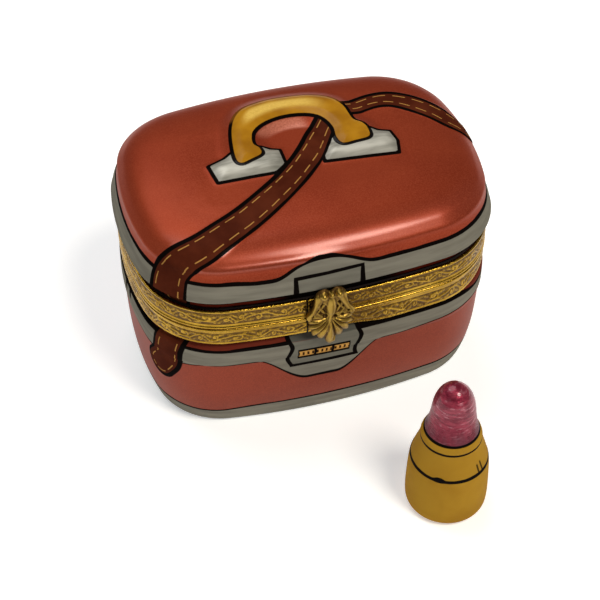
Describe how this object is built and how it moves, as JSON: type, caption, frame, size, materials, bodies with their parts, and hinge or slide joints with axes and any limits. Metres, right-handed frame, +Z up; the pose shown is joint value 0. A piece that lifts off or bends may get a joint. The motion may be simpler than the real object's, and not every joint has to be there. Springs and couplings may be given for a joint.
{
  "type": "hinged porcelain trinket box with porcelain lipstick",
  "caption": "Hinged porcelain trinket box shaped as a small vanity case, with gilt brass mounts and a painted strap, and a loose porcelain lipstick standing in front of it.",
  "frame": {"origin": "on the table, in the middle of the box's flat foot", "axes": "+Z up out of the lid, the clasp and the lipstick towards -Y, the hinge towards +Y, the box's long side along X"},
  "size_m": [0.057, 0.0689, 0.039],
  "materials": {
    "painted_porcelain": "glossy painted and lustred hard porcelain, opaque",
    "lustre_porcelain": "glossy painted hard porcelain, opaque",
    "gilt_brass": "gilt, stamped in relief, dark patina in the recesses",
    "cement": "matt mineral cement"
  },
  "bodies": {
    "base": {"base_shell": "painted_porcelain", "lower_bezel": "gilt_brass", "lower_bezel_cement": "cement", "base_hinge_bearer": "gilt_brass", "base_knuckle_1": "gilt_brass", "base_knuckle_2": "gilt_brass", "base_knuckle_3": "gilt_brass", "hinge_pin": "gilt_brass", "catch_bead": "gilt_brass"},
    "lid": {"lid_shell": "painted_porcelain", "upper_bezel": "gilt_brass", "upper_bezel_cement": "cement", "lid_hinge_bearer": "gilt_brass", "lid_knuckle_1": "gilt_brass", "lid_knuckle_2": "gilt_brass", "clasp_ornament": "gilt_brass", "clasp_tongue": "gilt_brass"},
    "lipstick": {"lipstick": "lustre_porcelain"}
  },
  "joints": [
    {"name": "lid_hinge", "type": "hinge", "parent": "base", "child": "lid", "pos_m": [0, 0.02175, 0.0234], "axis": [-1, 0, 0], "range_deg": [0, 100]},
    {"name": "lipstick_lift", "type": "slide", "parent": "base", "child": "lipstick", "axis": [0, 0, 1], "range_m": [0, 0.03]}
  ]
}
